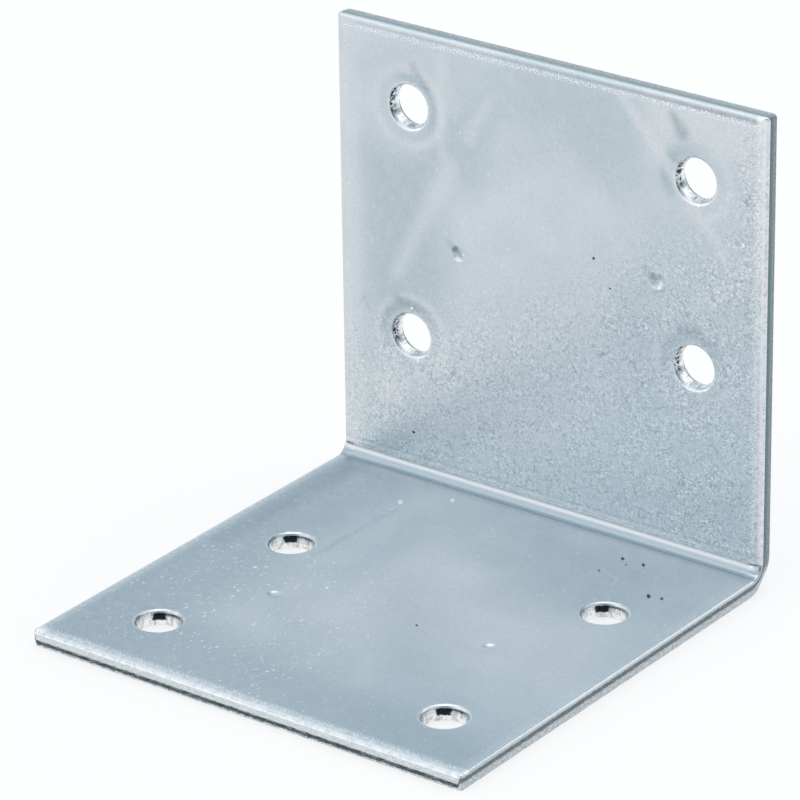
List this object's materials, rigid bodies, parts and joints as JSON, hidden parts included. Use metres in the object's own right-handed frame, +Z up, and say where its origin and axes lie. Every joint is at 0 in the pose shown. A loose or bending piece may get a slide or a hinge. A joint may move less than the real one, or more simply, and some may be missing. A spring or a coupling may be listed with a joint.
{
  "type": "angle bracket",
  "caption": "Wide right-angle bracket folded from zinc-coated sheet steel, with staggered screw holes in both legs.",
  "frame": {"origin": "middle of the base leg's underside, which is the middle of the bottom of the bounding box", "axes": "+Z up, square to the base leg's underside; +Y towards the wall leg, square to its outer face; X along the fold"},
  "size_m": [0.0602, 0.0604, 0.0585],
  "materials": {
    "zinc": "satin bright zinc coat with light mottling, scuffs and punch marks"
  },
  "bodies": {
    "root": {"angle_bracket": "zinc"}
  },
  "joints": []
}
